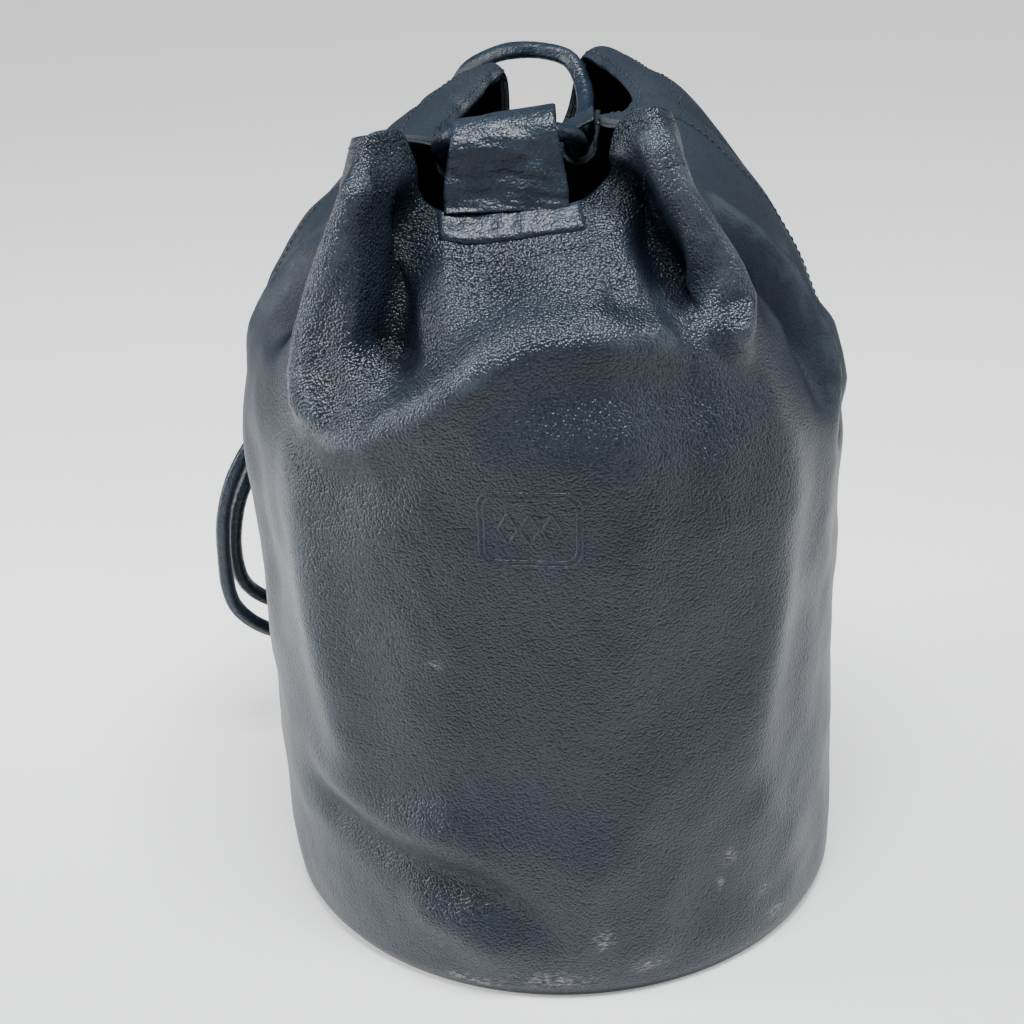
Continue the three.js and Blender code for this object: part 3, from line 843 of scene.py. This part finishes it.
def make_leather():
    all_rows = np.arange(ROWS)
    front = np.concatenate([np.arange(LEFT, COLUMNS), np.arange(RIGHT + 1)])
    back = np.arange(RIGHT, LEFT + 1)
    for name, columns in (("body_front_panel", front), ("body_back_panel", back)):
        thing = rounded_slab(name + "_fine", columns, all_rows, 0, LEATHER, NAVY, cut=CUT)
        paint_slab(thing, columns, all_rows)
        settle(thing, "bag", [name])


def make_inner_layers():
    everywhere = np.arange(COLUMNS)
    depth = LEATHER + GAP
    hem = np.arange(HEM_ROW, ROWS)
    facing = rounded_slab("rim_facing_fine", everywhere, hem, depth, depth + FACING, NAVY, True, CUT)
    paint_slab(facing, everywhere, hem)
    settle(facing, "bag", ["rim_facing"])
    inside = np.arange(2, HEM_ROW - 1)
    lining = rounded_slab("lining_fine", everywhere, inside, depth, depth + LINING, CLOTH, wraps=True)
    settle(lining, "bag", ["lining"])
    for side, column in (("right", RIGHT), ("left", LEFT)):
        strip = np.arange(column - 4, column + 5)
        rows = np.arange(2, HEM_ROW - 8)
        start = depth + LINING + GAP
        tape = rounded_slab(side + "_seam_tape_fine", strip, rows, start, start + 0.9, TAPE)
        settle(tape, "bag", [side + "_seam_tape"])


STITCH_PITCH = 4.2
STITCH_LENGTH = 3.1


def make_seam_threads():
    """Thread of the two hem rows and of both side seams."""
    below = HEM * np.linspace(1, 0, HEM_ROWS + 1)
    loop = np.arange(COLUMNS + 1) % COLUMNS
    for name, distance in (("hem_stitch_upper", UPPER_STITCH), ("hem_stitch_lower", LOWER_STITCH)):
        place_in_hem = np.interp(-distance, -below, np.arange(HEM_ROWS + 1))
        row = HEM_ROW + int(place_in_hem)
        share = place_in_hem - int(place_in_hem)
        line = GRID[loop, row] * (1 - share) + GRID[loop, row + 1] * share
        out = NORMAL[loop, row]
        ends = stitches_along(line, out, STITCH_PITCH, STITCH_LENGTH)
        settle(stitches(name, ends, 0.42), "bag")
    for side, column in (("right", RIGHT), ("left", LEFT)):
        line, out = GRID[column + 1, 3:HEM_ROW], NORMAL[column + 1, 3:HEM_ROW]
        ends = stitches_along(line, out, STITCH_PITCH, STITCH_LENGTH)
        settle(stitches(side + "_seam_stitch", ends, 0.4), "bag")


# ---------------------------------------------------------------- base

# Discs of the base: name, radius, foot, top, material, slot, roundness of the rim
BASE_LAYERS = [
    ["base_panel", 137.4, 0, 2.6, TAB, "grained_leather", 0.6],
    ["base_board", 136, 2.9, 5.1, BOARD_FIBRE, "base_board", 0.3],
    ["base_lining", 135, 5.4, 6.4, CLOTH, "lining_cloth", 0.3],
]


def disc(name, radius, low, high, material, rim):
    """A flat disc with a rounded rim, in fine rings so that its grain shows."""
    profile = [(radius * share, low) for share in (0.25, 0.5, 0.75, 0.95)]
    profile += [(radius - rim, low), (radius - 0.3 * rim, low + 0.3 * rim), (radius, low + rim)]
    profile += [(radius, high - rim), (radius - 0.3 * rim, high - 0.3 * rim), (radius - rim, high)]
    profile += [(radius * share, high) for share in (0.95, 0.75, 0.5, 0.25)]
    sides = 160
    middle = np.array([OUTLINE[0][2], 0, 0])
    points = [middle + [0, 0, low]]
    for size, z in profile:
        points += list(middle + [0, 0, z] + ring(sides, np.array([size, 0, 0]), np.array([0, size, 0])))
    points.append(middle + [0, 0, high])
    faces = [[0, 1 + (k + 1) % sides, 1 + k] for k in range(sides)]
    faces += ring_faces(1, len(profile), sides)
    last = 1 + (len(profile) - 1) * sides
    faces += [[last + k, last + (k + 1) % sides, len(points) - 1] for k in range(sides)]
    settle(new_mesh(name + "_fine", points, faces, material), "bag", [name])


def make_base():
    for name, radius, low, high, material, slot, rim in BASE_LAYERS:
        disc(name, radius, low, high, material, rim)


# ---------------------------------------------------------------- cords and their holders

def rolled(run, turn):
    """Radius of a rolled leather cord: a seam along one side, faint cross creases and slow unevenness."""
    seam = -0.55 * np.exp(-((turn - 1.2 - 0.25 * np.sin(run / 60)) / 0.16)**2)
    crease = -0.10 * np.maximum(0, np.sin(run * 1.45 + 0.8 * np.sin(run / 9) + 0.6 * np.sin(2 * turn)))**3
    slow = 0.10 * np.sin(run / 13 + turn) + 0.07 * np.sin(run / 5.1 - 2 * turn)
    tip = 1 - 0.25 * np.exp(-run / 0.8)
    return (CORD / 2 - 0.05 + seam + crease + slow) * tip


def make_cords():
    mouth = spline(MOUTH_CORD, 1.6)
    thing = tube("mouth_drawcord_fine", mouth, rolled, ROLLED, 24)
    settle(thing, "bag", ["mouth_drawcord"])
    for name, route in (("strap_strand_lower", STRAND_LOWER), ("strap_strand_upper", STRAND_UPPER)):
        line = spline(route, 1.8)
        strand = tube(name + "_fine", line, rolled, ROLLED, 24)
        settle(strand, "strap", [name])


SWING_TOP = np.array([-39, 144.7, 324])
SWING_FOOT = np.array([-14, 160.8, 28])
SWING_AXIS = (SWING_FOOT - SWING_TOP) / np.linalg.norm(SWING_FOOT - SWING_TOP)
SLEEVE_BORE = 9.9
SLEEVE_OUTSIDE = 11.0
KEEPER_LENGTH = 14.0
ANCHOR_LENGTH = 24.0
ANCHOR_FLOOR = 4.0


def sleeve(name, top, length, floor):
    """A leather sleeve along the swing line with rolled lips; a floor closes its lower end."""
    along = SWING_AXIS
    side = np.cross(along, [0, 1, 0])
    side /= np.linalg.norm(side)
    across = np.cross(along, side)
    lip = (SLEEVE_OUTSIDE - SLEEVE_BORE) / 2
    middle = (SLEEVE_OUTSIDE + SLEEVE_BORE) / 2
    arc = [math.pi * k / 6 for k in range(7)]
    profile = [(middle - lip * math.cos(a), lip - lip * math.sin(a)) for a in arc]
    profile += [(SLEEVE_OUTSIDE, length * share) for share in (0.25, 0.5, 0.75)]
    if floor:
        profile += [(SLEEVE_OUTSIDE - lip + lip * math.cos(a / 2), length - lip + lip * math.sin(a / 2))
                    for a in arc]
        profile += [(5, length), (0.01, length), (0.01, length - floor), (SLEEVE_BORE - 1, length - floor)]
    else:
        profile += [(middle + lip * math.cos(a), length - lip + lip * math.sin(a)) for a in arc]
    profile += [(SLEEVE_BORE, (length - floor) * share) for share in (0.9, 0.6, 0.3)]
    sides = 72
    turn = 2 * math.pi * np.arange(sides)[:, None] / sides
    points = []
    for size, depth in profile:
        wave = 0.12 * np.sin(3 * turn + depth / 3) * (size > SLEEVE_BORE + 0.2)
        points += list(top + along * depth + ring(sides, side, across) * (size + wave))
    faces = ring_faces(0, len(profile), sides, closed=True)
    settle(new_mesh(name + "_fine", points, faces, TAB), "bag", [name])
    rows = []
    out = ring(60, side, across)[np.arange(61) % 60]
    for offset in (2.2, length - 2.2):
        rows += stitches_along(top + along * offset + out * (SLEEVE_OUTSIDE + 0.1), out, 3.6, 2.6)
    settle(stitches(name + "_stitch", rows, 0.35), "bag")


def make_sleeves():
    sleeve("strap_keeper", SWING_TOP - SWING_AXIS * KEEPER_LENGTH / 2, KEEPER_LENGTH, 0)
    sleeve("strap_anchor", SWING_FOOT, ANCHOR_LENGTH, ANCHOR_FLOOR)


FOOT_HALF_WIDTH = 5.0
FOOT_HALF_HEIGHT = 8.0
FOOT_LINE = [[-13.2, 143.6, 17], [-13.2, 151.1, 17]]
FOOT_TWIST = math.atan(0.3)


def foot_outline(run, turn):
    """Radius of the anchor's foot: a rectangle with round corners, drawn in a little at the middle."""
    turn = turn + FOOT_TWIST
    flat = (np.abs(np.cos(turn)) / FOOT_HALF_WIDTH)**4 + (np.abs(np.sin(turn)) / FOOT_HALF_HEIGHT)**4
    return flat**-0.25 * (1 - 0.1 * np.sin(np.pi * run / run[-1]))


def make_anchor_foot():
    """The folded tongue of leather that joins the anchor to the back of the bag."""
    foot = tube("strap_anchor_foot", spline(FOOT_LINE, 0.8), foot_outline, TAB, 32)
    settle(foot, "bag")


# ---------------------------------------------------------------- loops of leather round the cord

TAB_LEATHER = 2.2

# Foot at the rim, middle of the round end, radius, width at the foot and beyond, turn and rise of the
# width, extra rise from left to right, height of the wrinkles, whether the front ply comes over the rim
LOOPS = {
    "front_loop_tab": [[-20, -66, 378], [-20, -54.5, 400.5], 13.5, 55, 45, 0, 0.08, 0.12, 0.8, True],
    "right_loop_tab": [[21, -13, 402], [13, -12, 389.5], 9, 19, 18, 1.6, 0, 0, 0.3, False],
    "left_loop_tab": [[-51.5, -5, 395.5], [-45.5, -3, 381.5], 9, 19, 18, 1.55, 0, 0, 0.3, False],
}


def loop_line(radius, reach):
    """The middle line of a loop in its own plane: up from the foot, round the end and back down."""
    size = radius - TAB_LEATHER / 2
    half = TAB_LEATHER / 2 + 0.2
    lean = math.asin(min((size - half) / reach, 0.95))
    arc = np.linspace(-lean, math.pi + lean, 41)
    round_end = np.stack([size * np.cos(arc), reach + size * np.sin(arc)], axis=1)
    down = np.stack([np.linspace(half, round_end[0, 0], 18, endpoint=False),
                     np.linspace(0, round_end[0, 1], 18, endpoint=False)], axis=1)
    up = np.stack([np.linspace(round_end[-1, 0], -half, 19)[1:],
                   np.linspace(round_end[-1, 1], 0, 19)[1:]], axis=1)
    return np.concatenate([down, round_end, up])[::-1]


def make_loop(name, foot, centre, radius, foot_width, width, turn, rise, tilt, wrinkle, over_rim):
    foot, centre = np.array(foot, dtype=float), np.array(centre, dtype=float)
    reach = np.linalg.norm(centre - foot)
    lift = (centre - foot) / reach
    along = np.array([math.cos(turn), math.sin(turn), rise])
    along -= lift * (along @ lift)
    along /= np.linalg.norm(along)
    across = np.cross(lift, along)
    line = loop_line(radius, reach)
    if over_rim:
        line = np.concatenate([line[:1] + [[0.8, -5.4], [0.8, -3.4], [0.4, -1.6]], line])
    run = length_along(line)
    line = read_line(line, run, np.linspace(0, run[-1], 120))
    direction = unit(np.gradient(line, axis=0))
    outward = np.stack([-direction[:, 1], direction[:, 0]], axis=1)
    share = np.linspace(-0.5, 0.5, 41)
    height = line[:, 1] / (reach + radius)
    wide = width + (foot_width - width) * (1 - smoothstep(0, 0.85, height))
    middle = (foot + line[:, :1, None].reshape(-1, 1) * across + line[:, 1:2] * lift)[:, None]
    middle = middle + along * (share[None, :, None] * wide[:, None, None])
    middle[:, :, 2] += tilt * share[None, :] * width * smoothstep(0, 0.9, height)[:, None]
    out = (outward[:, :1] * across + outward[:, 1:] * lift)[:, None] + np.zeros_like(middle)
    slant = middle @ np.array([[0.45, 0, 0], [0, 0.6, 0], [0.55, 0, 1.25]])
    lumps = 0.75 * soft_noise(middle, 30, 21) + 0.34 * soft_noise(slant, 9, 22)
    lumps = lumps + 0.12 * soft_noise(slant, 4.5, 23)
    middle = middle + out * (wrinkle * lumps)[:, :, None]
    edge = np.minimum(1, (0.5 - np.abs(share)) * width / 1.1)
    half = TAB_LEATHER / 2 * np.sqrt(np.clip(1 - (1 - edge)**2, 0.25, 1))[None, :, None]
    front, back = middle + out * half, middle - out * half
    columns, rows = front.shape[:2]
    thing = layer(name + "_fine", front, back, TAB)
    thing.data.materials.append(CUT)
    skins = 2 * (columns - 1) * (rows - 1)
    for face in range(skins, skins + 2 * (columns - 1)):
        thing.data.polygons[face].material_index = 1
    settle(thing, "bag", [name])


def make_tab_root():
    """The raised band over the hem that the front loop is sewn under."""
    columns = np.array([c for c in range(-40, 41) if -15.4 < (ANGLE[c, 0] + 180) % 360 - 180 < 12.6])
    rows = np.arange(ROWS - 13, ROWS)
    edge_x = np.minimum(np.arange(len(columns)), np.arange(len(columns))[::-1]) * 2.2
    edge_z = np.minimum(np.arange(len(rows)), np.arange(len(rows))[::-1]) * 1.4
    edge = np.minimum(1, np.minimum(edge_x[:, None], edge_z[None, :]) / 4.5)
    rise = 0.15 + 2.3 * np.sqrt(1 - (1 - edge)**2)
    points = GRID[np.ix_(columns, rows)]
    normals = NORMAL[np.ix_(columns, rows)]
    lumps = 0.25 * soft_noise(points, 11, 31)
    top = points + normals * (rise + lumps * edge)[:, :, None]
    low = points + normals * 0.05
    settle(layer("front_loop_tab_root", top, low, TAB), "bag")


# ---------------------------------------------------------------- emblem

def on_front(across, up):
    """A point of the sculpted front and its normal, from millimetres across and up the leather."""
    angle = math.degrees(across / BODY_RADIUS) % 360
    spread = np.append(ANGLE[:, 0], 360.0)
    column = min(int(np.searchsorted(spread, angle, side="right")) - 1, COLUMNS - 1)
    share = (angle - spread[column]) / (spread[column + 1] - spread[column])
    following = (column + 1) % COLUMNS
    point, normal = [], []
    for data, result in ((GRID, point), (NORMAL, normal)):
        for k in (column, following):
            result.append([np.interp(up, GRID[k, :, 2], data[k, :, axis]) for axis in range(3)])
    point, normal = np.array(point), np.array(normal)
    return point[0] * (1 - share) + point[1] * share, normal[0] * (1 - share) + normal[1] * share


def emblem_outline(width, height, corner):
    """Points round a rectangle with round corners."""
    points = []
    for cx, cy, start in ((1, 1, 0), (-1, 1, 90), (-1, -1, 180), (1, -1, 270)):
        for k in range(9):
            turn = math.radians(start + 90 * k / 8)
            points.append((cx * (width / 2 - corner) + corner * math.cos(turn),
                           cy * (height / 2 - corner) + corner * math.sin(turn)))
    return points


def make_emblem():
    """A plain mark in thin raised lines: two round-cornered frames and a small lattice of diamonds."""
    middle = (-6.0, 253.0)
    loops = [emblem_outline(47, 36, 8), emblem_outline(42, 31, 6)]
    for x in (-10, 0, 10):
        loops.append([(x + 4.6, 0), (x, 7.5), (x - 4.6, 0), (x, -7.5)])
    points, faces = [], []
    sides = 8
    for loop in loops:
        closed = np.array(loop + [loop[0]], dtype=float)
        run = length_along(closed)
        flat = read_line(closed, run, np.linspace(0, run[-1], int(run[-1] / 0.9), endpoint=False))
        line, outs = map(np.array, zip(*[on_front(middle[0] + x, middle[1] + y) for x, y in flat]))
        along = np.roll(line, -1, axis=0) - np.roll(line, 1, axis=0)
        across = unit(np.cross(outs, along))
        faces += [[a, d, c, b] for a, b, c, d in ring_faces(len(points), len(line), sides, closed=True)]
        for spot, out, wide in zip(line, outs, across):
            points += list(spot - out * 0.18 + ring(sides, wide * 0.75, out * 0.5))
    settle(new_mesh("emblem_lines", points, faces, TAB), "bag")


make_leather()
make_inner_layers()
make_seam_threads()
make_base()
make_cords()
make_sleeves()
make_anchor_foot()
for loop_name, loop_sizes in LOOPS.items():
    make_loop(loop_name, *loop_sizes)
make_tab_root()
make_emblem()


# ---------------------------------------------------------------- camera, floor and light

# Place in millimetres, then pitch down, yaw and roll in degrees, and focal length in image units
CAMERA_PLACE = [0, -865, 606]
CAMERA_TURN = [25.4, -1.6, -2.0]
CAMERA_REACH = 1868
IMAGE_SIDE = 1024
SENSOR = 36


def make_camera():
    pitch, yaw, roll = (math.radians(turn) for turn in CAMERA_TURN)
    forward = Vector((math.sin(yaw) * math.cos(pitch), math.cos(yaw) * math.cos(pitch), -math.sin(pitch)))
    level = Vector((math.cos(yaw), -math.sin(yaw), 0))
    upright = level.cross(forward)
    right = math.cos(roll) * level + math.sin(roll) * upright
    up = -math.sin(roll) * level + math.cos(roll) * upright
    data = bpy.data.cameras.new("camera")
    data.sensor_width = SENSOR
    data.lens = SENSOR * CAMERA_REACH / IMAGE_SIDE
    camera = bpy.data.objects.new("camera", data)
    bpy.context.scene.collection.objects.link(camera)
    turn = Matrix((right, up, -forward)).transposed().to_4x4()
    camera.matrix_world = Matrix.Translation(Vector(frame_points(CAMERA_PLACE).tolist())) @ turn
    bpy.context.scene.camera = camera


def make_floor():
    bpy.ops.mesh.primitive_plane_add(size=9, location=(0, 0, 0))
    floor = bpy.context.active_object
    floor.name = "floor"
    material, tree, shader = nodes_of("floor")
    shade = noise(tree, place(tree), 3, 3.0)
    colour = mix_colour(tree, ramp(tree, shade, 0.3, 0.7), (0.74, 0.74, 0.75), (0.78, 0.78, 0.78))
    tree.links.new(colour, shader.inputs["Base Color"])
    # The floor glows, faintly at the front and brightly behind the bag: a painted glow, which also lights the
    # bag and shows in its reflections
    shader.inputs["Emission Color"].default_value = (1, 1, 1, 1)
    parts = tree.nodes.new("ShaderNodeSeparateXYZ")
    tree.links.new(place(tree), parts.inputs["Vector"])
    tree.links.new(ramp(tree, parts.outputs["Y"], -0.45, 0.35, 0.06, 0.8), shader.inputs["Emission Strength"])
    shader.inputs["Roughness"].default_value = 0.75
    floor.data.materials.append(material)


def soft_light(name, place_at, target, size, power, colour):
    data = bpy.data.lights.new(name, "AREA")
    data.shape = "RECTANGLE"
    data.size, data.size_y = size
    data.energy = power
    data.color = colour
    light = bpy.data.objects.new(name, data)
    bpy.context.scene.collection.objects.link(light)
    light.location = place_at
    way = Vector(target) - Vector(place_at)
    light.rotation_mode = "QUATERNION"
    light.rotation_quaternion = way.to_track_quat("-Z", "Y")


def make_light():
    soft_light("above", (0.05, -0.42, 1.5), (0, -0.1, 0.3), (0.7, 0.4), 45, (0.95, 0.98, 1.0))
    soft_light("left", (-1.5, -0.25, 0.7), (0, 0, 0.2), (0.5, 1.1), 31, (0.99, 0.995, 1.0))
    soft_light("right", (1.5, -0.05, 0.75), (0, 0, 0.2), (0.4, 1.0), 9, (0.98, 0.99, 1.0))
    world = bpy.data.worlds.new("studio")
    world.use_nodes = True
    sky = world.node_tree.nodes["Background"]
    sky.inputs["Color"].default_value = (0.92, 0.96, 1.0, 1)
    sky.inputs["Strength"].default_value = 0.17
    bpy.context.scene.world = world


make_camera()
make_floor()
make_light()
